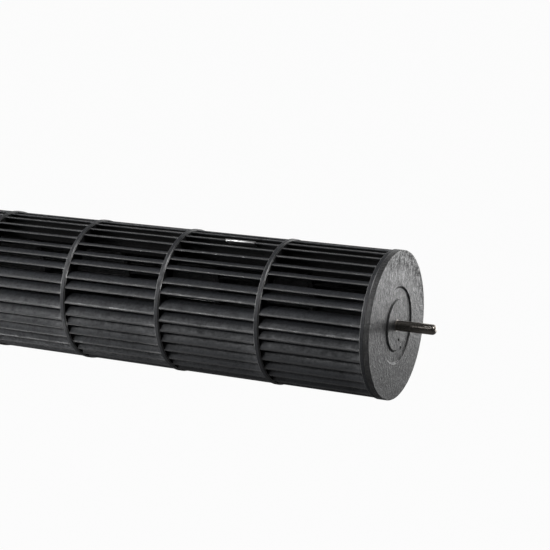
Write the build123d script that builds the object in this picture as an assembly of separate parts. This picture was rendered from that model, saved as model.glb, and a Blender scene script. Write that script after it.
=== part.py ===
from build123d import *
import math
import os

# Cross flow fan wheel of a wall air conditioner. Welded blade segments stand between two end plates.
# The wheel's axis lies along X. The origin is the mouth of the motor bore, and +X runs to the bearing shaft.
# Z is up and -Y is the side that faces the viewer. Angles are counted from -Y upwards.

# Wheel
wheel_radius = 50.0
segment_count = 8
segment_pitch = 75.0

# Rings: a full-width band, and beside it a narrow land that registers in an end plate
band_width = 3.0
land_width = 0.5
land_step = 0.6
ring_inner_radius = 38.0
band_edge_chamfer = 0.25

# Blades: a circular arc, radial at its inner edge and leaning forward at its tip. The uneven pitches come
# three times round the wheel, the last time begun at another place, so that no third is like the next.
tip_drop = 0.6
blade_inner_radius = 38.6
blade_thickness = 1.2
blade_sweep_deg = 7.6
first_tip_deg = 68.8
turn_per_segment_deg = 5.0
pitches_deg = (9.8, 10.3, 9.5, 11.1, 9.8, 8.8, 12.2, 8.5, 12.3, 10.0, 8.5, 9.2)
pattern_shift_count = 10

# End plate at the bearing end
plate_thickness = 3.0
register_clearance = 0.05
plate_edge_fillet = 0.4
groove_inner_radius = 17.3
groove_outer_radius = 25.5
groove_depth = 1.4
hub_radius = 10.0
hub_length = 14.0
hub_edge_fillet = 1.0
gate_mark_radius = 0.9
gate_mark_depth = 0.4
gate_mark_reach = 11.0
gate_mark_deg = -77.0
notch_radius = 1.2
notch_reach = 19.8
notch_deg = -65.0
notch_depth = 0.5

# Bearing shaft, with a grooved collar moulded into the hub
shaft_radius = 3.5
shaft_reach = 27.3
shaft_embed = 15.0
shaft_tip_fillet = 1.4
collar_radius = 3.8
collar_groove_depth = 0.5
collar_groove_width = 2.0
collar_groove_stations = (4.0, 9.0)

# Motor end: plate with a cup, rubber damper, metal sleeve and set screw
motor_plate_thickness = 3.5
cup_wall = 2.5
cup_floor = 2.0
damper_radius = 15.0
damper_length = 15.0
floor_clearance = 1.5
sleeve_radius = 8.0
sleeve_stand_out = 10.0
sleeve_edge_chamfer = 0.5
bore_radius = 4.0
screw_radius = 2.0
screw_length = 5.0
screw_station = 5.0
screw_tip_gap = 0.3
screw_socket_radius = 1.15
screw_socket_depth = 2.0

# Balance clip, pressed over the tip of one blade
clip_segment = 7
clip_blade = 2
clip_length = 21.8
clip_from_ring = 18.6
clip_sheet = 0.5
clip_grip = 4.5

# Sizes and stations along the axis that follow from the ones above
ring_width = band_width + land_width
tip_radius = wheel_radius - tip_drop
land_radius = wheel_radius - land_step
motor_plate_face = sleeve_stand_out
first_seat = motor_plate_face + motor_plate_thickness
blade_length = segment_pitch - ring_width
last_seat = first_seat + segment_count * segment_pitch
outer_face = last_seat + plate_thickness
sleeve_length = sleeve_stand_out + damper_length
cup_end = sleeve_length + cup_floor

os.makedirs("parts", exist_ok=True)


def on_circle(radius, degrees_up):
    """A point of the YZ plane, at an angle counted from -Y upwards."""
    angle = math.radians(degrees_up)
    return Vector(-radius * math.cos(angle), radius * math.sin(angle))


def across(station):
    """A sketch plane square to the axis, with Y to its right and Z up."""
    return Plane.YZ.offset(station)


def disc(station, radius, length):
    """A cylinder along +X from a station."""
    return extrude(across(station) * Circle(radius), length)


def tube(station, outer, inner, length):
    """A round wall along +X from a station."""
    return extrude(across(station) * (Circle(outer) - Circle(inner)), length)


def round_edges(solid, station, radius):
    """The round edges of one radius at one station."""
    circles = solid.edges().filter_by(GeomType.CIRCLE)
    return [edge for edge in circles
            if abs(edge.radius - radius) < 0.01 and abs(edge.arc_center.X - station) < 0.01]


def tip_angles():
    """Angles of the blade tips of the first segment, one pitch after the other, going down the front."""
    last_third = pitches_deg[pattern_shift_count:] + pitches_deg[:pattern_shift_count]
    steps = pitches_deg + pitches_deg + last_third
    degrees_per_step = 360.0 / sum(steps)
    return [first_tip_deg - degrees_per_step * sum(steps[:count]) for count in range(len(steps))]


def camber(tip_deg):
    """A blade's middle line: an arc that leaves its inner edge radially and ends at its tip."""
    inner = on_circle(blade_inner_radius + blade_thickness / 2, tip_deg + blade_sweep_deg)
    tip = on_circle(tip_radius - blade_thickness / 2, tip_deg)
    return TangentArc(inner, tip, tangent=inner)


def blade_section(tip_deg):
    """A blade's section: one thickness all along the middle line, with round edges."""
    return SlotArc(camber(tip_deg), blade_thickness)


def make_segment():
    """One moulding with its blades' free ends at the first station: blades, then band and land."""
    sections = Sketch() + [blade_section(angle) for angle in tip_angles()]
    blades = extrude(Plane.YZ * sections, blade_length + band_width / 2)
    band = tube(blade_length, wheel_radius, ring_inner_radius, band_width)
    edges = round_edges(band, blade_length, wheel_radius)
    edges += round_edges(band, blade_length + band_width, wheel_radius)
    band = chamfer(edges, band_edge_chamfer)
    land = tube(blade_length + band_width, land_radius, ring_inner_radius, land_width)
    return band + land + blades


def make_shaft():
    """The steel pin: a plain journal with a round tip, and a grooved collar that the hub holds."""
    start = outer_face - shaft_embed
    collar = disc(start, collar_radius, shaft_embed)
    for station in collar_groove_stations:
        floor_radius = collar_radius - collar_groove_depth
        collar -= tube(start + station, 2 * collar_radius, floor_radius, collar_groove_width)
    journal = disc(start, shaft_radius, shaft_embed + shaft_reach)
    journal = fillet(round_edges(journal, outer_face + shaft_reach, shaft_radius), shaft_tip_fillet)
    core = disc(start, collar_radius - collar_groove_depth, shaft_embed)
    outside = journal & disc(outer_face, 2 * collar_radius, 2 * shaft_reach)
    return collar + core + outside


def make_end_plate(shaft):
    """The plate at the bearing end: a lip round the last ring's land, a ring groove, and the shaft's hub."""
    plate = disc(last_seat - land_width, wheel_radius, land_width + plate_thickness)
    plate = fillet(round_edges(plate, outer_face, wheel_radius), plate_edge_fillet)
    plate = chamfer(round_edges(plate, last_seat - land_width, wheel_radius), band_edge_chamfer)
    plate -= disc(last_seat - land_width, land_radius + register_clearance, land_width)
    hub = disc(last_seat - hub_length, hub_radius, hub_length)
    hub = fillet(round_edges(hub, last_seat - hub_length, hub_radius), hub_edge_fillet)
    plate += hub
    groove_floor = outer_face - groove_depth
    plate -= tube(groove_floor, groove_outer_radius, groove_inner_radius, groove_depth)
    mark = on_circle(gate_mark_reach, 180 - gate_mark_deg)
    mark_plane = across(outer_face - gate_mark_depth)
    plate -= extrude(mark_plane * Pos(mark.X, mark.Y) * Circle(gate_mark_radius), gate_mark_depth)
    notch = on_circle(notch_reach, 180 - notch_deg)
    notch_plane = across(groove_floor - notch_depth)
    plate -= extrude(notch_plane * Pos(notch.X, notch.Y) * Circle(notch_radius), notch_depth)
    return plate - shaft


def make_motor_plate():
    """The plate at the motor end, with the cup that holds the rubber damper inside the wheel."""
    plate = disc(motor_plate_face, wheel_radius, motor_plate_thickness)
    plate = fillet(round_edges(plate, motor_plate_face, wheel_radius), plate_edge_fillet)
    plate -= tube(first_seat - land_width, 2 * wheel_radius, land_radius, land_width)
    cup_radius = damper_radius + cup_wall
    plate += disc(motor_plate_face, cup_radius, cup_end - motor_plate_face)
    plate -= disc(motor_plate_face, damper_radius, damper_length)
    return plate - disc(motor_plate_face, sleeve_radius + floor_clearance, cup_end)


def make_sleeve():
    """The metal sleeve on the motor shaft, with the set screw's hole through its outer end."""
    sleeve = disc(0, sleeve_radius, sleeve_length)
    ends = round_edges(sleeve, 0, sleeve_radius) + round_edges(sleeve, sleeve_length, sleeve_radius)
    sleeve = chamfer(ends, sleeve_edge_chamfer)
    sleeve -= disc(0, bore_radius, sleeve_length)
    axis_point = Pos(screw_station, 0, 0)
    return sleeve - extrude(axis_point * Circle(screw_radius), 2 * sleeve_radius)


def make_screw():
    """The set screw, upright in the sleeve's top, with a hexagon socket in its head end."""
    foot = Pos(screw_station, 0, bore_radius + screw_tip_gap)
    screw = extrude(foot * Circle(screw_radius), screw_length)
    socket = foot * Pos(0, 0, screw_length) * RegularPolygon(screw_socket_radius, 6)
    return screw - extrude(socket, -screw_socket_depth)


def make_clip():
    """The balance clip: bent sheet round a blade's tip, with the blade's own curve inside it."""
    tip_deg = tip_angles()[clip_blade] + (clip_segment - 1) * turn_per_segment_deg
    line = camber(tip_deg)
    start = 1 - clip_grip / line.length
    outer = SlotArc(line.trim(start, 1), blade_thickness + 2 * clip_sheet)
    section = outer - blade_section(tip_deg)
    station = first_seat + clip_segment * segment_pitch - ring_width - clip_from_ring - clip_length
    return extrude(across(station) * section, clip_length)


def save(solid, node):
    """Write one piece under its node's name."""
    export_step(solid, f"parts/{node}.step")


shaft = make_shaft()
save(shaft, "bearing_shaft")
save(make_end_plate(shaft), "end_plate")
segment = make_segment()
for index in range(segment_count):
    turn = Rot(-turn_per_segment_deg * index, 0, 0)
    save(Pos(first_seat + index * segment_pitch, 0, 0) * turn * segment, f"blade_segment_{index + 1}")
save(make_motor_plate(), "motor_plate")
save(tube(motor_plate_face, damper_radius, sleeve_radius, damper_length), "damper_bush")
save(make_sleeve(), "hub_sleeve")
save(make_screw(), "set_screw")
save(make_clip(), "balance_clip")
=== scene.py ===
import math

import bmesh
import bpy
import numpy as np
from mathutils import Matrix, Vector


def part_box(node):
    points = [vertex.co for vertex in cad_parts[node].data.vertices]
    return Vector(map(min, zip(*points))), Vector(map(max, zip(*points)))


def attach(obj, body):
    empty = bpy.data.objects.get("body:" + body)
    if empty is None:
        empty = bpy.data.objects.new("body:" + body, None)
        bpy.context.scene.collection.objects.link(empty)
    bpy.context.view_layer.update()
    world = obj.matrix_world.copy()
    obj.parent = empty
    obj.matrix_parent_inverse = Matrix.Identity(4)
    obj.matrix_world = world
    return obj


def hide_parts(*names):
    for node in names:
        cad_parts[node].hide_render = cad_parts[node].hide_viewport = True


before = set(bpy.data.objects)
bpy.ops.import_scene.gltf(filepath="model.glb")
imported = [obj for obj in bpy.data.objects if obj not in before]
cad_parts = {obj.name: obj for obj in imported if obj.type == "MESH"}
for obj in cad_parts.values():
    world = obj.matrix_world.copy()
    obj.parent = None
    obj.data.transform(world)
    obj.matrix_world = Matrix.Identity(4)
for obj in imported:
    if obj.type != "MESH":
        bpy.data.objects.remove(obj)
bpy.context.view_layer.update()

# The wheel's axis lies along X, with +X towards the bearing shaft, Z up and -Y towards the viewer.
# Angles round the axis are counted from -Y upwards. Lengths are metres.
mm = 0.001

# Places and sizes that the frame gives
segments = [f"blade_segment_{number}" for number in range(1, 9)]
wheel_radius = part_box(segments[0])[1].z
last_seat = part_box(segments[-1])[1].x
face_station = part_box("end_plate")[1].x
shaft_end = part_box("bearing_shaft")[1].x
shaft_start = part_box("bearing_shaft")[0].x
hub_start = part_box("end_plate")[0].x

# Rings
band_width = 3.0 * mm
land_width = 0.5 * mm
land_step = 0.6 * mm
ring_inner_radius = 38.0 * mm
ring_inner_edge = 0.25 * mm
band_bevel_width = 0.33 * mm
band_bevel_drop = 0.28 * mm
band_bevel_edge = 0.08 * mm
land_edge = 0.14 * mm

# Blades
blade_inner_radius = 38.6 * mm
tip_radius = wheel_radius - 0.6 * mm
blade_half = 0.63 * mm
blade_sweep_deg = 7.8
first_tip_deg = 68.8
turn_per_segment_deg = 5.0
pitches_deg = (9.8, 10.3, 9.5, 11.1, 9.8, 8.8, 12.2, 8.5, 12.3, 10.0, 8.5, 9.2)
pattern_shift_count = 10
blade_count = 3 * len(pitches_deg)
root_fillet = 0.35 * mm
blade_bow = 0.16 * mm
bow_seed = 50
tip_land_deg = 32
tip_flatness = 0.7
side_steps = 11
end_steps = 9

# End plate at the bearing end
groove_inner_radius = 17.3 * mm
groove_outer_radius = 25.5 * mm
groove_depth = 1.0 * mm
groove_slant = 0.55 * mm
hub_radius = 10.0 * mm
plate_edge = 0.4 * mm
register_clearance = 0.05 * mm
gate_mark = {"reach": 11.0 * mm, "angle": 257.0, "radius": 0.9 * mm, "depth": 0.4 * mm}
notch = {"reach": 19.8 * mm, "angle": 245.0, "radius": 1.2 * mm, "depth": 0.5 * mm}

# Bearing shaft
shaft_radius = 3.5 * mm
collar_radius = 3.8 * mm
shaft_tip = 2.7 * mm
shaft_sides = 96

# Motor end
plate_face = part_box("motor_plate")[0].x
first_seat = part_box(segments[0])[0].x
cup_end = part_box("motor_plate")[1].x
cup_radius = 17.5 * mm
damper_radius = 15.0 * mm
damper_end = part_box("damper_bush")[1].x
sleeve_radius = 8.0 * mm
sleeve_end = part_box("hub_sleeve")[1].x
bore_radius = 4.0 * mm
cup_hole_radius = 9.5 * mm
screw_radius = 2.0 * mm
screw_station = 5.0 * mm
socket_radius = 1.0 * mm
socket_depth = 2.0 * mm

# Balance clip
clip_segment = 7
clip_blade = 2
clip_sheet = 0.5 * mm
clip_grip = 4.5 * mm
clip_side_steps = 9
clip_clearance = 0.01 * mm
clip_edge = 0.12 * mm

# Points this close are one point, a point this close to a station lies on it, and an edge that turns by
# more than an angle is sharp
same_point = 0.002 * mm
near_station = 0.05 * mm
sharp_deg = 35

# Surfaces


def unit(vector):
    """The vector divided by its length."""
    return vector / np.linalg.norm(vector)


def rounded(corners, steps=5, hold=0.12 * mm, closed=True):
    """A profile of straight runs between corners (x, r, rounding), with an arc at each rounded corner.
    The arc's centre lies on the corner's bisector, rounding / sin(half angle) away, and a holding
    point just outside each end of the arc keeps the flats flat."""
    spots = np.array(corners, float)
    count = len(spots)
    path = []
    for index in range(count):
        spot = spots[index, :2]
        rounding = spots[index, 2]
        if rounding == 0:
            path.append(spot)
            continue
        back = unit(spots[index - 1, :2] - spot)
        ahead = unit(spots[(index + 1) % count, :2] - spot)
        half = math.acos(np.clip(back @ ahead, -1, 1)) / 2
        reach = rounding / math.tan(half)
        centre = spot + unit(back + ahead) * rounding / math.sin(half)
        first = unit(spot + back * reach - centre)
        last = unit(spot + ahead * reach - centre)
        share = np.linspace(0, 1, steps + 1)[:, None]
        spread = math.pi / 2 - half
        arc = np.sin((1 - share) * 2 * spread) * first + np.sin(share * 2 * spread) * last
        path.append(spot + back * (reach + hold))
        path.extend(centre + rounding * arc / math.sin(2 * spread))
        path.append(spot + ahead * (reach + hold))
    return np.array(path)


def turned(profile, angles_deg):
    """Each profile point (x, r) goes round the X axis to (x, -r cos a, r sin a), one row per point."""
    x, r = profile.T[:, :, None]
    angle = np.radians(angles_deg)[None, :]
    return np.stack(np.broadcast_arrays(x, -r * np.cos(angle), r * np.sin(angle)), -1)


def all_round(count):
    """Evenly spaced angles of a full turn."""
    return np.arange(count) * 360.0 / count


def quads(rows, columns, closed_rows, closed_columns):
    """Corners of the faces between neighbouring points of a grid that is numbered row by row."""
    i = np.arange(rows if closed_rows else rows - 1)[:, None]
    j = np.arange(columns if closed_columns else columns - 1)[None, :]
    i_next = (i + 1) % rows
    j_next = (j + 1) % columns
    corners = (i * columns + j, i * columns + j_next, i_next * columns + j_next, i_next * columns + j)
    return np.stack(np.broadcast_arrays(*corners), -1).reshape(-1, 4)


def smooth(values, low, high):
    """A soft step: 0 below one value, 1 above another, and a cubic between them."""
    share = np.clip((values - low) / (high - low), 0, 1)
    return share * share * (3 - 2 * share)


class Surface:
    """A grid of points with the mask of wear and painted light that its material reads: -1 for painted
    shade in the wheel's shelter, 0 on open skin, 1 on rubbed edges, paler partly as a painted highlight,
    and 2 on glazed ones."""

    def __init__(self, points, wear_and_painted_light=0.0, closed_rows=False, closed_columns=True):
        rows, columns = points.shape[-3:-1]
        copies = points.reshape(-1, rows * columns, 3)
        start = np.arange(len(copies))[:, None, None] * rows * columns
        self.points = copies.reshape(-1, 3)
        self.faces = (quads(rows, columns, closed_rows, closed_columns)[None] + start).reshape(-1, 4)
        self.wear_and_painted_light = np.broadcast_to(wear_and_painted_light, points.shape[:-1]).reshape(-1)


def close_up(mesh):
    """Equal points are merged, which closes seams and poles, and the normals are turned outwards."""
    shape = bmesh.new()
    shape.from_mesh(mesh)
    bmesh.ops.remove_doubles(shape, verts=shape.verts, dist=same_point)
    bmesh.ops.dissolve_degenerate(shape, edges=shape.edges, dist=same_point / 4)
    bmesh.ops.recalc_face_normals(shape, faces=shape.faces)
    shape.to_mesh(mesh)
    shape.free()


def make_piece(name, surfaces, material, nodes):
    """One object from its surfaces, in the place of the frame's nodes."""
    points = np.concatenate([surface.points for surface in surfaces])
    starts = np.cumsum([0] + [len(surface.points) for surface in surfaces[:-1]])
    faces = np.concatenate([surface.faces + start for surface, start in zip(surfaces, starts)])
    wear_and_painted_light = np.concatenate([surface.wear_and_painted_light for surface in surfaces])
    mesh = bpy.data.meshes.new(name)
    mesh.from_pydata(points.tolist(), [], faces.tolist())
    attribute = mesh.attributes.new("wear_and_painted_light", "FLOAT", "POINT")
    attribute.data.foreach_set("value", wear_and_painted_light.astype(np.float32))
    close_up(mesh)
    mesh.polygons.foreach_set("use_smooth", np.ones(len(mesh.polygons), bool))
    mesh.set_sharp_from_angle(angle=math.radians(sharp_deg))
    mesh.materials.append(material)
    piece = bpy.data.objects.new(name, mesh)
    bpy.context.scene.collection.objects.link(piece)
    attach(piece, "root")
    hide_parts(*nodes)
    return piece


# Blades and rings


def tip_angles(segment):
    """Angles of a segment's blade tips: uneven steps going down the front, turned from segment to segment."""
    last_third = pitches_deg[pattern_shift_count:] + pitches_deg[:pattern_shift_count]
    steps = np.array(pitches_deg + pitches_deg + last_third)
    passed = np.concatenate([[0], np.cumsum(steps)[:-1]]) * 360.0 / steps.sum()
    return first_tip_deg - passed + (segment - 1) * turn_per_segment_deg


def at_angle(reach, degrees):
    """A point of the blade section's own plane, with the tip's radius along its first axis."""
    angle = math.radians(degrees)
    return reach * np.array([math.cos(angle), math.sin(angle)])


def camber(share):
    """Points and left-hand normals of the blade's middle line, an arc that leaves the inner edge radially.
    With d the start direction, n its normal towards the tip and a the chord's angle to d, the point at
    a share s is start + R (sin(2 a s) d + (1 - cos(2 a s)) n), where R = chord / (2 sin a)."""
    start = at_angle(blade_inner_radius + blade_half, blade_sweep_deg)
    tip = at_angle(tip_radius - blade_half, 0)
    ahead = unit(start)
    chord = tip - start
    beside = unit(chord - (chord @ ahead) * ahead)
    lean = math.acos(unit(chord) @ ahead)
    radius = np.linalg.norm(chord) / (2 * math.sin(lean))
    turn = 2 * lean * share[:, None]
    points = start + radius * (np.sin(turn) * ahead + (1 - np.cos(turn)) * beside)
    normals = np.sin(turn) * ahead - np.cos(turn) * beside
    return points, normals


def camber_length():
    """Length of the blade's middle line."""
    points, _ = camber(np.linspace(0, 1, 200))
    return np.linalg.norm(np.diff(points, axis=0), axis=1).sum()


def drawn_out(offsets):
    """Offsets round a blade's tip, drawn out to a narrow land that faces straight away from the axis:
    within the land's half angle they are divided by the cosine of their angle to that direction. A
    flatness below 1 keeps the land slightly crowned."""
    away = np.degrees(np.arctan2(offsets[:, 1], offsets[:, 0]))
    land = 1 / np.cos(np.radians(np.clip(away, -tip_land_deg, tip_land_deg)))
    share = np.interp(away, [-80, -tip_land_deg, tip_land_deg, tip_land_deg + 8], [0, 1, 1, 0])
    return offsets * (1 + tip_flatness * (land - 1) * share)[:, None]


def round_the_line(first_share, side_steps, end_steps):
    """Centres and unit offsets round the middle line: out along one side, half round the tip,
    back along the other side and half round the start."""
    share = np.linspace(first_share, 1, side_steps)
    points, normals = camber(share)
    half_turn = np.linspace(0, math.pi, end_steps + 2)[1:-1, None]
    tangent = np.array([normals[-1][1], -normals[-1][0]])
    tangent *= np.sign(tangent @ (points[-1] - points[-2]))
    tip_offsets = np.cos(half_turn) * normals[-1] + np.sin(half_turn) * tangent
    back = np.array([normals[0][1], -normals[0][0]])
    back *= -np.sign(back @ (points[1] - points[0]))
    start_offsets = -np.cos(half_turn) * normals[0] + np.sin(half_turn) * back
    centres = np.concatenate([points, np.repeat(points[-1:], end_steps, 0),
                              points[::-1], np.repeat(points[:1], end_steps, 0)])
    offsets = np.concatenate([normals, tip_offsets, -normals[::-1], start_offsets])
    return centres, offsets


def placed(section, stations, angles_deg):
    """Section points (u, v) carried to (x, -(u cos a - v sin a), u sin a + v cos a)."""
    u, v = section[..., 0], section[..., 1]
    cosine = np.cos(np.radians(angles_deg))
    sine = np.sin(np.radians(angles_deg))
    x = np.broadcast_to(stations, np.broadcast_shapes(u.shape, cosine.shape, stations.shape))
    y = np.broadcast_to(-(u * cosine - v * sine), x.shape)
    z = np.broadcast_to(u * sine + v * cosine, x.shape)
    return np.stack([x, y, z], -1)


def blades(seat, band_start, segment):
    """All blades of a segment: the section is carried along X, closed down to its middle line at both
    ends, a little wider where it runs into the band, and bowed by a sine along its length. The four rows
    of numbers hold one entry for each station."""
    centres, offsets = round_the_line(0, side_steps, end_steps)
    tip = slice(side_steps, side_steps + end_steps)
    offsets[tip] = drawn_out(offsets[tip])
    length = band_start - seat
    rise = root_fillet * np.array([0, 0, 0, 0, 0, 0, 0, 0, 0.12, 0.45, 1, 1, 1])
    inset = np.array([1, 0.25, 0, 0, 0, 0, 0, 0, 0, 0, 0, 0, 1])
    share = np.array([0, 0, 0, 0.2, 0.35, 0.5, 0.65, 0.8, 1, 1, 1, 1, 1])
    step = mm * np.array([0, 0, 0.15, 0, 0, 0, 0, 0, -0.5, -0.2, 0, 1, 1])
    stations = seat + length * share + step
    half = (blade_half + rise) * (1 - inset)
    section = centres[None, None] + half[None, :, None, None] * offsets[None, None]
    chance = np.random.default_rng(bow_seed + segment)
    bow = np.degrees(chance.uniform(-blade_bow, blade_bow, blade_count) / tip_radius)
    angles = tip_angles(segment)[:, None] + bow[:, None] * np.sin(math.pi * share)[None]
    points = placed(section, stations[None, :, None], angles[:, :, None])
    outward = np.linalg.norm(section, axis=-1)
    # Rubbed tips (0 to 1), paler partly as a painted highlight, and painted shade (-1) on each blade's inner
    # side
    wear_and_painted_light = np.clip((outward - tip_radius + 0.45 * mm) / (0.4 * mm), 0, 1)
    faces_in = np.arange(len(offsets)) >= tip.stop
    wear_and_painted_light = np.where(faces_in & (wear_and_painted_light == 0), -1.0, wear_and_painted_light)
    return Surface(points, np.broadcast_to(wear_and_painted_light, points.shape[:-1]))


def ring(band_start):
    """The band with bevelled edges and its lower, glazed land, turned from one closed profile. Its bevels
    are rubbed and paler, partly as a painted highlight, and the sides below them get painted shade in the
    wheel's shelter."""
    land_start = band_start + band_width
    land_radius = wheel_radius - land_step
    profile = rounded([
        (band_start, ring_inner_radius, ring_inner_edge),
        (band_start, wheel_radius - band_bevel_drop, band_bevel_edge),
        (band_start + band_bevel_width, wheel_radius, band_bevel_edge),
        (land_start - band_bevel_width, wheel_radius, band_bevel_edge),
        (land_start, wheel_radius - band_bevel_drop, band_bevel_edge),
        (land_start, land_radius, 0.0),
        (land_start + land_width, land_radius, land_edge),
        (land_start + land_width, ring_inner_radius, ring_inner_edge),
    ])
    points = turned(profile, all_round(300))
    edge = np.abs(profile[:, 0] - band_start - band_width / 2) / (band_width / 2)
    outer = (profile[:, 1] > wheel_radius - 0.35 * mm) & (profile[:, 0] < land_start + 0.01 * mm)
    land = (profile[:, 1] > land_radius - 0.2 * mm) & (profile[:, 0] > land_start)
    # Painted shade (-1) on the sides and inner face below the bevels and the land
    inside = profile[:, 1] < land_radius - 0.2 * mm
    # Rubbed bevels and land, paler partly as a painted highlight
    bevel = np.where(edge > 0.72, 1.5, 0.12)
    wear_and_painted_light = np.where(outer, bevel, np.where(inside, -1.0, land * 2.0))
    return Surface(points, wear_and_painted_light[:, None], closed_rows=True)


def make_segment(number, material):
    """One moulding: its blades, and the ring at their far ends."""
    node = segments[number - 1]
    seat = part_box(node)[0].x
    band_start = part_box(node)[1].x - band_width - land_width
    surfaces = [blades(seat, band_start, number), ring(band_start)]
    return make_piece(f"segment_{number}", surfaces, material, [node])


# End plate and shaft


def finer_near(places_deg, spread_deg=9, coarse=240, fine=46):
    """Angles of a full turn, closer together round some places."""
    near = [place + np.linspace(-spread_deg, spread_deg, fine) for place in places_deg]
    angles = np.concatenate([all_round(coarse)] + near) % 360
    angles = np.unique(np.round(angles, 4))
    return angles[np.diff(np.append(angles, angles[0] + 360)) > 0.05]


def pressed(points, level, mark):
    """Points of a face near one level are sunk by a round mark, with a soft step for its wall."""
    angle = math.radians(mark["angle"])
    centre = mark["reach"] * np.array([-math.cos(angle), math.sin(angle)])
    away = np.linalg.norm(points[..., 1:] - centre, axis=-1)
    wall = smooth(mark["radius"] - away, -0.15 * mm, 0.15 * mm)
    on_level = np.abs(points[..., 0] - level) < near_station
    sunk = points.copy()
    sunk[..., 0] -= np.where(on_level, mark["depth"] * wall, 0)
    return sunk


def face_rows(inner, outer, step):
    """Radii from one to another, evenly spaced."""
    return np.linspace(inner, outer, max(2, int(round((outer - inner) / step)) + 1))


def flat_rows(station, radii):
    """Profile points of a flat face at several radii."""
    return np.stack([np.full(len(radii), station), radii], -1)


def insert_rows(profile, rows):
    """Extra rows go into the straight run of a profile that they lie on."""
    station = rows[0, 0]
    on_run = np.abs(profile[:, 0] - station) < 1e-7
    starts = on_run[:-1] & on_run[1:]
    spans = starts & (profile[:-1, 1] <= rows[0, 1]) & (profile[1:, 1] >= rows[-1, 1])
    place = int(np.argmax(spans)) + 1
    return np.concatenate([profile[:place], rows, profile[place:]])


def darker_smears(points):
    """A mask of darker smears on the face, which fade in towards the rim, upwards and towards the back."""
    reach = np.linalg.norm(points[..., 1:], axis=-1) / wheel_radius
    on_face = np.abs(points[..., 0] - face_station) < near_station
    upper = smooth(points[..., 2] / wheel_radius, -0.3, 0.5)
    back = smooth(points[..., 1] / wheel_radius, -0.6, 0.2)
    return -0.45 * on_face * smooth(reach, 0.66, 0.95) * upper * back


def make_end_plate(material):
    """The plate: face with its ring groove and two small mould marks, rim, lip, inner face and hub. Extra
    rows lie where the marks are pressed in and where the darker smears fade."""
    floor = face_station - groove_depth
    plate_back = last_seat
    lip = last_seat - land_width
    lip_inner = wheel_radius - land_step + register_clearance
    face = rounded([
        (shaft_start, 0.0, 0.0),
        (shaft_start, collar_radius, 0.0),
        (face_station, collar_radius, 0.25 * mm),
        (face_station, groove_inner_radius - groove_slant, 0.5 * mm),
        (floor, groove_inner_radius + groove_slant, 0.6 * mm),
        (floor, groove_outer_radius - groove_slant, 0.6 * mm),
        (face_station, groove_outer_radius + groove_slant, 0.5 * mm),
        (face_station, wheel_radius, plate_edge),
        (lip, wheel_radius, 0.2 * mm),
        (lip, lip_inner, 0.0),
        (plate_back, lip_inner, 0.0),
        (plate_back, hub_radius, 0.5 * mm),
        (hub_start, hub_radius, 1.0 * mm),
        (hub_start, 0.0, 0.0),
    ])
    boss = flat_rows(face_station, face_rows(9.5 * mm, 12.5 * mm, 0.22 * mm))
    trough = flat_rows(floor, face_rows(18.5 * mm, 21.4 * mm, 0.25 * mm))
    outer = flat_rows(face_station, face_rows(28 * mm, 49 * mm, 1.0 * mm))
    profile = insert_rows(insert_rows(insert_rows(face, boss), trough), outer)
    points = turned(profile, finer_near([gate_mark["angle"], notch["angle"]]))
    points = pressed(points, face_station, gate_mark)
    points = pressed(points, floor, notch)
    near_edge = np.abs(profile[:, 1] - wheel_radius) < 0.5 * mm
    corner = near_edge & (np.abs(profile[:, 0] - face_station) < 0.5 * mm)
    # Paler rubbed rim, partly a painted highlight
    wear_and_painted_light = np.where(corner, 1.0, np.where(near_edge, 0.35, 0.0))
    surface = Surface(points, np.where(wear_and_painted_light[:, None] > 0, wear_and_painted_light[:, None], darker_smears(points)))
    return make_piece("bearing_end_plate", [surface], material, ["end_plate"])


def make_shaft(material):
    """The ground pin: collar end flush with the plate, plain journal, rounded tip."""
    profile = rounded([
        (shaft_start, 0.0, 0.0),
        (shaft_start, collar_radius, 0.2 * mm),
        (face_station, collar_radius, 0.1 * mm),
        (face_station, shaft_radius, 0.0),
        (shaft_end, shaft_radius, shaft_tip),
        (shaft_end, 0.0, 0.0),
    ], steps=10)
    surface = Surface(turned(profile, all_round(shaft_sides)))
    return make_piece("bearing_pin", [surface], material, ["bearing_shaft"])


# Motor end


def make_motor_plate(material):
    """The plate with its cup, which holds the rubber damper."""
    land_radius = wheel_radius - land_step
    register = first_seat - land_width
    profile = rounded([
        (plate_face, damper_radius, 0.3 * mm),
        (plate_face, wheel_radius, plate_edge),
        (register, wheel_radius, 0.2 * mm),
        (register, land_radius, 0.0),
        (first_seat, land_radius, land_edge),
        (first_seat, cup_radius, 0.6 * mm),
        (cup_end, cup_radius, 0.5 * mm),
        (cup_end, cup_hole_radius, 0.3 * mm),
        (damper_end, cup_hole_radius, 0.0),
        (damper_end, damper_radius, 0.0),
    ])
    near_edge = np.abs(profile[:, 1] - wheel_radius) < 0.5 * mm
    wear_and_painted_light = np.where(near_edge, 0.6, 0.0)
    surface = Surface(turned(profile, all_round(240)), wear_and_painted_light[:, None], closed_rows=True)
    return make_piece("motor_end_plate", [surface], material, ["motor_plate"])


def make_damper(material):
    """The rubber ring between cup and sleeve, with soft edges."""
    profile = rounded([
        (plate_face, sleeve_radius, 0.3 * mm),
        (plate_face, damper_radius, 0.5 * mm),
        (damper_end, damper_radius, 0.5 * mm),
        (damper_end, sleeve_radius, 0.3 * mm),
    ])
    surface = Surface(turned(profile, all_round(120)), closed_rows=True)
    return make_piece("rubber_damper", [surface], material, ["damper_bush"])


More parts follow.
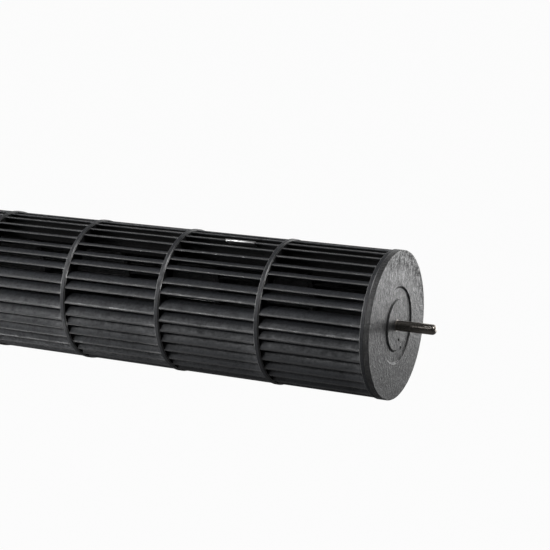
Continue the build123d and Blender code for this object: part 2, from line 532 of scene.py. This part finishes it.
def make_sleeve(material):
    """The turned sleeve, with the set screw's hole cut through its wall."""
    profile = rounded([
        (0.0, bore_radius, 0.2 * mm),
        (0.0, sleeve_radius, 0.5 * mm),
        (sleeve_end, sleeve_radius, 0.5 * mm),
        (sleeve_end, bore_radius, 0.2 * mm),
    ])
    surface = Surface(turned(profile, all_round(120)), closed_rows=True)
    sleeve = make_piece("sleeve", [surface], material, ["hub_sleeve"])
    cutter = drill(screw_station, screw_radius, 2 * sleeve_radius)
    cut = sleeve.modifiers.new("screw_hole", "BOOLEAN")
    cut.object = cutter
    cut.operation = "DIFFERENCE"
    cut.solver = "EXACT"
    settled = sleeve.evaluated_get(bpy.context.evaluated_depsgraph_get())
    sleeve.modifiers.clear()
    sleeve.data = bpy.data.meshes.new_from_object(settled)
    sleeve.data.set_sharp_from_angle(angle=math.radians(sharp_deg))
    bpy.data.objects.remove(cutter)
    return sleeve


def upright(radii, heights, angles_deg):
    """A surface round the screw's own upright axis: (station + r cos a, r sin a, height)."""
    angle = np.radians(angles_deg)[None, :]
    x = screw_station + radii * np.cos(angle)
    y = radii * np.sin(angle)
    z = np.broadcast_to(heights, x.shape)
    return np.stack([x, y, z], -1)


def drill(station, radius, top):
    """The tool that cuts the screw hole, a closed round bar from the wheel's axis upwards."""
    heights = np.array([0, 0, top, top])[:, None]
    radii = np.array([0, radius, radius, 0])[:, None]
    surface = Surface(upright(radii, heights, all_round(48)))
    mesh = bpy.data.meshes.new("drill")
    mesh.from_pydata(surface.points.tolist(), [], surface.faces.tolist())
    close_up(mesh)
    made = bpy.data.objects.new("drill", mesh)
    bpy.context.scene.collection.objects.link(made)
    return made


def make_screw(material):
    """The set screw with its hexagon socket. A hexagon's radius at an angle a is its flat's
    distance divided by the cosine of a's distance to the nearest flat."""
    low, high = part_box("set_screw")
    radius = (high.x - low.x) / 2
    angles = all_round(96)
    to_flat = np.radians((angles + 30) % 60 - 30)
    hexagon = socket_radius / np.cos(to_flat)[None, :]
    round_rows = np.array([0, radius - 0.3 * mm, radius, radius, radius - 0.25 * mm])[:, None]
    radii = np.concatenate([np.repeat(round_rows, len(angles), 1), hexagon, hexagon * 0.96,
                            hexagon * 0.96, hexagon * 0])
    floor = high.z - socket_depth
    heights = np.array([low.z, low.z, low.z + 0.3 * mm, high.z - 0.25 * mm, high.z, high.z,
                        high.z - 0.1 * mm, floor, floor])[:, None]
    surface = Surface(upright(radii, heights, angles))
    return make_piece("grub_screw", [surface], material, ["set_screw"])


# Balance clip


def make_clip(material):
    """Bent sheet round a blade's tip: the outline runs outside the sheet and comes back inside it,
    and is carried along the blade with rounded ends."""
    first_share = 1 - clip_grip / camber_length()
    centres, offsets = round_the_line(first_share, clip_side_steps, end_steps)
    kept = clip_side_steps + end_steps + clip_side_steps
    inner = blade_half + clip_clearance
    outer = blade_half + clip_sheet
    outside = centres[:kept] + outer * offsets[:kept]
    inside = (centres[:kept] + inner * offsets[:kept])[::-1]
    outline = np.concatenate([outside, inside])
    middle = (outline + outline[::-1]) / 2
    low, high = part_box("balance_clip")
    stations = np.array([low.x, low.x, low.x + clip_edge, high.x - clip_edge, high.x, high.x])
    inset = np.array([1, 0.2, 0, 0, 0.2, 1])[:, None, None]
    section = outline * (1 - inset) + middle * inset
    angle = tip_angles(clip_segment)[clip_blade]
    points = placed(section, stations[:, None], np.array([[angle]]))
    surface = Surface(points)
    return make_piece("spring_clip", [surface], material, ["balance_clip"])


# Materials


def add_node(tree, kind, inputs=None, **settings):
    """A node with its settings, and with values or other nodes' outputs in its inputs."""
    made = tree.nodes.new(kind)
    for key, value in settings.items():
        setattr(made, key, value)
    for key, value in (inputs or {}).items():
        if isinstance(value, bpy.types.NodeSocket):
            tree.links.new(value, made.inputs[key])
        else:
            made.inputs[key].default_value = value
    return made


def math_node(tree, operation, first, second=0.0, clamp=False):
    """The output of one sum, product or other operation."""
    return add_node(tree, "ShaderNodeMath", {0: first, 1: second}, operation=operation,
                    use_clamp=clamp).outputs[0]


def between(tree, factor, low, high):
    """A number that goes from low to high as the factor goes from 0 to 1."""
    return add_node(tree, "ShaderNodeMapRange", {"Value": factor, "To Min": low, "To Max": high}).outputs[0]


def spread(tree, value, low, high):
    """The value's stretch from low to high becomes 0 to 1."""
    return add_node(tree, "ShaderNodeMapRange", {"Value": value, "From Min": low, "From Max": high}).outputs[0]


def mixed(tree, factor, first, second):
    """A colour between two."""
    made = add_node(tree, "ShaderNodeMix", {0: factor, 6: first, 7: second}, data_type="RGBA")
    return made.outputs[2]


def new_group(name, inputs, outputs):
    """An empty node group with named number sockets, and its input and output nodes."""
    group = bpy.data.node_groups.new(name, "ShaderNodeTree")
    for socket, value in inputs.items():
        made = group.interface.new_socket(socket, in_out="INPUT", socket_type="NodeSocketFloat")
        made.default_value = value
    for socket in outputs:
        group.interface.new_socket(socket, in_out="OUTPUT", socket_type="NodeSocketFloat")
    entry = group.nodes.new("NodeGroupInput")
    leave = group.nodes.new("NodeGroupOutput")
    return group, entry, leave


def grain_group():
    """Fine grain of glass-filled plastic: a sharp noise for the fibres' ends and a softer one below it."""
    group, entry, leave = new_group("moulding_grain", {"Size mm": 0.6}, ["Grain", "Height"])
    place = add_node(group, "ShaderNodeTexCoord").outputs["Object"]
    scale = math_node(group, "DIVIDE", 1.0 / mm, entry.outputs["Size mm"])
    fine = add_node(group, "ShaderNodeTexNoise",
                    {"Vector": place, "Scale": scale, "Detail": 3.0, "Roughness": 0.65}).outputs[0]
    wide_scale = math_node(group, "MULTIPLY", scale, 0.28)
    wide = add_node(group, "ShaderNodeTexNoise",
                    {"Vector": place, "Scale": wide_scale, "Detail": 2.0, "Roughness": 0.5}).outputs[0]
    both = math_node(group, "ADD", math_node(group, "MULTIPLY", fine, 0.65),
                     math_node(group, "MULTIPLY", wide, 0.35))
    grain = spread(group, both, 0.36, 0.64)
    group.links.new(grain, leave.inputs["Grain"])
    group.links.new(both, leave.inputs["Height"])
    return group


def mottle_group():
    """Cloudy patches where the fibres lie near the skin: stretched noise, bent by a wider one."""
    group, entry, leave = new_group("fibre_mottle", {"Size mm": 8.0, "Stretch": 2.0}, ["Patches", "Streaks"])
    place = add_node(group, "ShaderNodeTexCoord").outputs["Object"]
    scale = math_node(group, "DIVIDE", 1.0 / mm, entry.outputs["Size mm"])
    patches = add_node(group, "ShaderNodeTexNoise",
                       {"Vector": place, "Scale": scale, "Detail": 5.0, "Roughness": 0.62,
                        "Distortion": 0.6}).outputs[0]
    squeeze = add_node(group, "ShaderNodeCombineXYZ", {0: 1.0, 1: entry.outputs["Stretch"], 2: 1.0}).outputs[0]
    narrow = add_node(group, "ShaderNodeVectorMath", {0: place, 1: squeeze}, operation="MULTIPLY").outputs[0]
    streak_scale = math_node(group, "MULTIPLY", scale, 2.2)
    streaks = add_node(group, "ShaderNodeTexNoise",
                       {"Vector": narrow, "Scale": streak_scale, "Detail": 4.0, "Roughness": 0.6,
                        "Distortion": 0.35}).outputs[0]
    group.links.new(spread(group, patches, 0.35, 0.65), leave.inputs["Patches"])
    group.links.new(spread(group, streaks, 0.38, 0.62), leave.inputs["Streaks"])
    return group


def wear_and_painted_light_group():
    """Rubbed edges, whose paler colour is partly a painted highlight, and painted shade: the piece's mask of
    wear and painted light, with the rubbing broken up by the grain. From 0 down to -0.5 the mask gives
    darker smears between the streaks, and from there to -1 painted shade, a skin that is dark all over.
    From 1 to 2 it gives a glazed skin, as on the rings' lands."""
    group, entry, leave = new_group("rubbed_edges_and_painted_light", {"Grain": 0.5, "Streaks": 0.5},
                                    ["Rubbed", "Painted shade and smears", "Glazed"])
    wear_and_painted_light = add_node(group, "ShaderNodeAttribute", attribute_name="wear_and_painted_light").outputs["Fac"]
    uneven = between(group, entry.outputs["Grain"], 0.55, 1.15)
    group.links.new(math_node(group, "MULTIPLY", wear_and_painted_light, uneven, clamp=True), leave.inputs["Rubbed"])
    smears = math_node(group, "MULTIPLY", spread(group, wear_and_painted_light, 0.0, -0.5),
                       spread(group, entry.outputs["Streaks"], 0.75, 0.15))
    painted_shade_all_over = spread(group, wear_and_painted_light, -0.5, -1.0)
    group.links.new(math_node(group, "MAXIMUM", smears, painted_shade_all_over), leave.inputs["Painted shade and smears"])
    group.links.new(spread(group, wear_and_painted_light, 1.0, 2.0), leave.inputs["Glazed"])
    return group


def new_material(name):
    """A material with an empty tree, its Principled shader and its output."""
    material = bpy.data.materials.new(name)
    material.use_nodes = True
    tree = material.node_tree
    tree.nodes.clear()
    shader = tree.nodes.new("ShaderNodeBsdfPrincipled")
    out = tree.nodes.new("ShaderNodeOutputMaterial")
    tree.links.new(shader.outputs[0], out.inputs["Surface"])
    return material, tree, shader


def placed_group(tree, group, values):
    """A group's node in a material, with its own values."""
    return add_node(tree, "ShaderNodeGroup", values, node_tree=group).outputs


def bump(tree, height, strength, depth):
    """A normal bent by a height, whose full range is as deep as said."""
    inputs = {"Height": height, "Strength": strength, "Distance": depth}
    return add_node(tree, "ShaderNodeBump", inputs).outputs[0]


def plastic(name, groups, dark, pale, rubbed_colour_and_highlight, roughness, unevenness, polish, grain_mm, mottle_mm,
            stretch, waviness_mm):
    """Dark glass-filled plastic: mottled colour and gloss, fine grain, rubbed, smoother edges whose paler
    colour is partly a painted highlight, a second gloss on glazed ones, and painted shade: a blacker,
    duller skin in the wheel's shelter."""
    material, tree, shader = new_material(name)
    grain = placed_group(tree, groups["grain"], {"Size mm": grain_mm})
    mottle = placed_group(tree, groups["mottle"], {"Size mm": mottle_mm, "Stretch": stretch})
    wear_and_painted_light = placed_group(tree, groups["wear_and_painted_light"], {"Grain": grain["Grain"], "Streaks": mottle["Streaks"]})
    rubbed_and_painted_highlight = wear_and_painted_light["Rubbed"]
    cloud = math_node(tree, "ADD", math_node(tree, "MULTIPLY", mottle["Patches"], 0.2),
                      math_node(tree, "MULTIPLY", mottle["Streaks"], 0.25))
    cloud = math_node(tree, "ADD", cloud, math_node(tree, "MULTIPLY", grain["Grain"], 0.55))
    colour = mixed(tree, cloud, dark, pale)
    # Painted shade: a near-black skin where the mask marks the wheel's shelter, and darker smears on the
    # plate's face
    colour = mixed(tree, wear_and_painted_light["Painted shade and smears"], colour, painted_shade_and_smear_colour)
    # Paler rubbed edges: partly edge wear, partly a painted highlight along tips, bevels and lands
    colour = mixed(tree, math_node(tree, "MULTIPLY", rubbed_and_painted_highlight, 0.8), colour, rubbed_colour_and_highlight)
    tree.links.new(colour, shader.inputs["Base Color"])
    rough = between(tree, cloud, roughness + unevenness, roughness - unevenness)
    rough = math_node(tree, "SUBTRACT", rough, math_node(tree, "MULTIPLY", rubbed_and_painted_highlight, polish))
    rough = math_node(tree, "ADD", rough, math_node(tree, "MULTIPLY", wear_and_painted_light["Painted shade and smears"], 0.3), clamp=True)
    tree.links.new(rough, shader.inputs["Roughness"])
    shader.inputs["IOR"].default_value = 1.5
    tree.links.new(wear_and_painted_light["Glazed"], shader.inputs["Coat Weight"])
    shader.inputs["Coat Roughness"].default_value = 0.32
    shader.inputs["Coat IOR"].default_value = 2.0
    waves = math_node(tree, "MULTIPLY", mottle["Streaks"], waviness_mm)
    pitted = math_node(tree, "MULTIPLY", grain["Height"], between(tree, rubbed_and_painted_highlight, 0.12, 0.03))
    height = math_node(tree, "ADD", waves, pitted)
    normal = bump(tree, height, 0.7, mm)
    tree.links.new(normal, shader.inputs["Normal"])
    return material


def metal(name, groups, colour, tint, roughness, line_scale):
    """Ground or turned metal: fine rings round the axis and small marks in its gloss."""
    material, tree, shader = new_material(name)
    place = add_node(tree, "ShaderNodeTexCoord").outputs["Object"]
    stretch = add_node(tree, "ShaderNodeVectorMath", {0: place, 1: (line_scale, 60.0, 60.0)},
                       operation="MULTIPLY").outputs[0]
    lines = add_node(tree, "ShaderNodeTexNoise", {"Vector": stretch, "Scale": 1.0, "Detail": 3.0}).outputs[0]
    grain = placed_group(tree, groups["grain"], {"Size mm": 0.8})
    tree.links.new(mixed(tree, spread(tree, lines, 0.35, 0.65), colour, tint), shader.inputs["Base Color"])
    rough = between(tree, grain["Grain"], roughness * 0.8, roughness * 1.25)
    tree.links.new(rough, shader.inputs["Roughness"])
    shader.inputs["Metallic"].default_value = 1.0
    tree.links.new(bump(tree, lines, 0.12, 0.02 * mm), shader.inputs["Normal"])
    return material


def rubber(name, groups):
    """Black rubber with a faint bloom."""
    material, tree, shader = new_material(name)
    grain = placed_group(tree, groups["grain"], {"Size mm": 0.9})
    mottle = placed_group(tree, groups["mottle"], {"Size mm": 5.0, "Stretch": 1.0})
    colour = mixed(tree, mottle["Patches"], (0.012, 0.012, 0.012, 1), (0.028, 0.028, 0.027, 1))
    tree.links.new(colour, shader.inputs["Base Color"])
    tree.links.new(between(tree, grain["Grain"], 0.72, 0.88), shader.inputs["Roughness"])
    tree.links.new(bump(tree, grain["Height"], 0.4, 0.06 * mm), shader.inputs["Normal"])
    return material


# Near-black colour of the painted shade in the wheel's shelter, also used for darker smears on the plate's
# face
painted_shade_and_smear_colour = (0.008, 0.008, 0.009, 1)
groups = {"grain": grain_group(), "mottle": mottle_group(), "wear_and_painted_light": wear_and_painted_light_group()}
blade_plastic = plastic("blade_plastic", groups, dark=(0.009, 0.0098, 0.0125, 1),
                        pale=(0.042, 0.045, 0.051, 1), rubbed_colour_and_highlight=(0.092, 0.092, 0.093, 1), roughness=0.60,
                        unevenness=0.22, polish=0.34, grain_mm=1.5, mottle_mm=7.0, stretch=1.0,
                        waviness_mm=0.03)
plate_plastic = plastic("plate_plastic", groups, dark=(0.012, 0.0125, 0.013, 1),
                        pale=(0.068, 0.069, 0.070, 1), rubbed_colour_and_highlight=(0.080, 0.080, 0.080, 1), roughness=0.44,
                        unevenness=0.18, polish=0.06, grain_mm=1.4, mottle_mm=7.0, stretch=2.4,
                        waviness_mm=0.26)
shaft_steel = metal("ground_steel", groups, colour=(0.46, 0.42, 0.38, 1), tint=(0.54, 0.50, 0.46, 1),
                    roughness=0.30, line_scale=900.0)
clip_steel = metal("spring_steel", groups, colour=(0.56, 0.56, 0.56, 1), tint=(0.64, 0.64, 0.64, 1),
                   roughness=0.34, line_scale=200.0)
hub_metal = metal("turned_aluminium", groups, colour=(0.60, 0.60, 0.61, 1), tint=(0.70, 0.70, 0.71, 1),
                  roughness=0.32, line_scale=2200.0)
screw_steel = metal("oxide_steel", groups, colour=(0.05, 0.05, 0.052, 1), tint=(0.09, 0.09, 0.092, 1),
                    roughness=0.38, line_scale=400.0)
damper_rubber = rubber("damper_rubber", groups)

for number in range(1, len(segments) + 1):
    make_segment(number, blade_plastic)
make_end_plate(plate_plastic)
make_shaft(shaft_steel)
make_motor_plate(plate_plastic)
make_damper(damper_rubber)
make_sleeve(hub_metal)
make_screw(screw_steel)
make_clip(clip_steel)

# Studio

camera_spot = Vector((0.98305, -0.94471, 0.27638))
camera_azimuth_deg = 25.78
camera_elevation_deg = 13.484
camera_lens = 103.784
sensor_width = 36.0
floor_level = -0.35
floor_size = 40.0
wheel_middle = Vector((0.38, 0.0, 0.0))
plate_middle = Vector((face_station, 0.0, 0.0))


def make_camera():
    """The camera at its spot, looking back towards the wheel at an azimuth and elevation."""
    azimuth = math.radians(camera_azimuth_deg)
    elevation = math.radians(camera_elevation_deg)
    ahead = Vector((-math.sin(azimuth) * math.cos(elevation),
                    math.cos(azimuth) * math.cos(elevation), -math.sin(elevation)))
    data = bpy.data.cameras.new("camera")
    data.sensor_fit = "HORIZONTAL"
    data.sensor_width = sensor_width
    data.lens = camera_lens
    data.clip_start = 0.05
    data.clip_end = 100.0
    camera = bpy.data.objects.new("camera", data)
    bpy.context.scene.collection.objects.link(camera)
    camera.location = camera_spot
    camera.rotation_euler = ahead.to_track_quat("-Z", "Y").to_euler()
    bpy.context.scene.camera = camera


def softbox(name, azimuth_deg, elevation_deg, distance, width, height, level, aim=wheel_middle):
    """A square lamp aimed at the wheel's middle or at another spot. Its level is the light that its
    surface gives off, so its power is level x pi x area."""
    azimuth = math.radians(azimuth_deg)
    elevation = math.radians(elevation_deg)
    away = Vector((math.sin(azimuth) * math.cos(elevation),
                   -math.cos(azimuth) * math.cos(elevation), math.sin(elevation)))
    data = bpy.data.lights.new(name, "AREA")
    data.shape = "RECTANGLE"
    data.size = width
    data.size_y = height
    data.energy = level * math.pi * width * height
    lamp = bpy.data.objects.new(name, data)
    bpy.context.scene.collection.objects.link(lamp)
    lamp.location = aim + away * distance
    lamp.rotation_euler = (-away).to_track_quat("-Z", "Y").to_euler()


def seen_white(tree, behind):
    """1 for what the camera or glass sees, and for what a gloss sees behind the wheel. It is 0 in the dark
    room in front, and for light that lands on matt surfaces."""
    path = add_node(tree, "ShaderNodeLightPath").outputs
    seen = math_node(tree, "MAXIMUM", path["Is Camera Ray"], path["Is Transmission Ray"])
    return math_node(tree, "MAXIMUM", seen, math_node(tree, "MULTIPLY", path["Is Glossy Ray"], behind))


def along_y(tree, coordinates, front, back):
    """0 in front and 1 behind, from where the Y coordinate lies between two values."""
    place = add_node(tree, "ShaderNodeTexCoord").outputs[coordinates]
    split = add_node(tree, "ShaderNodeSeparateXYZ", {0: place}).outputs[1]
    return spread(tree, split, front, back)


def make_floor():
    """A pale floor whose own white carries most of what is seen of it, with the wheel's shadow left in."""
    half = floor_size / 2
    spots = np.array([[-half, -half, 0], [half, -half, 0], [half, half, 0], [-half, half, 0]])
    spots[:, 2] = floor_level
    mesh = bpy.data.meshes.new("floor")
    mesh.from_pydata(spots.tolist(), [], [[0, 1, 2, 3]])
    material = bpy.data.materials.new("pale_floor")
    material.use_nodes = True
    tree = material.node_tree
    tree.nodes.clear()
    matt = add_node(tree, "ShaderNodeBsdfDiffuse", {"Color": (0.1, 0.1, 0.1, 1)}).outputs[0]
    white = add_node(tree, "ShaderNodeEmission", {"Color": (1, 1, 1, 1), "Strength": 1.0}).outputs[0]
    share = math_node(tree, "MULTIPLY", seen_white(tree, along_y(tree, "Object", 0.3, 1.2)), 0.97)
    both = add_node(tree, "ShaderNodeMixShader", {0: share, 1: matt, 2: white}).outputs[0]
    out = add_node(tree, "ShaderNodeOutputMaterial")
    tree.links.new(both, out.inputs["Surface"])
    mesh.materials.append(material)
    floor = bpy.data.objects.new("floor", mesh)
    bpy.context.scene.collection.objects.link(floor)


def make_world():
    """White for the camera, for glass and for what a gloss sees behind the wheel, and a faint fill for
    the rest."""
    world = bpy.data.worlds.new("studio")
    bpy.context.scene.world = world
    world.use_nodes = True
    tree = world.node_tree
    tree.nodes.clear()
    fill = add_node(tree, "ShaderNodeBackground", {"Color": (1, 1, 1, 1), "Strength": 0.02}).outputs[0]
    white = add_node(tree, "ShaderNodeBackground", {"Color": (1, 1, 1, 1), "Strength": 1.0}).outputs[0]
    behind = seen_white(tree, along_y(tree, "Generated", 0.6, 0.95))
    both = add_node(tree, "ShaderNodeMixShader", {0: behind, 1: fill, 2: white}).outputs[0]
    out = add_node(tree, "ShaderNodeOutputWorld")
    tree.links.new(both, out.inputs["Surface"])


make_camera()
make_floor()
make_world()
softbox("left", -60, 10, 1.0, 0.3, 0.3, 18.0)
softbox("front_left", -30, 30, 2.0, 0.3, 0.25, 44.0)
softbox("front", -9, 31, 2.0, 0.3, 0.3, 3.0)
softbox("far_left", -90, 15, 2.0, 0.5, 0.5, 16.0)
softbox("low_left", -45, -38, 0.35, 0.15, 0.1, 5.0)
softbox("high_left", -50, 58, 2.0, 0.6, 0.4, 7.5)
softbox("right", 85, 45, 2.0, 0.6, 0.6, 9.0)
softbox("behind_right", 159, -2, 0.5, 0.3, 0.2, 4.4, plate_middle)
bpy.context.scene.view_settings.view_transform = "Standard"
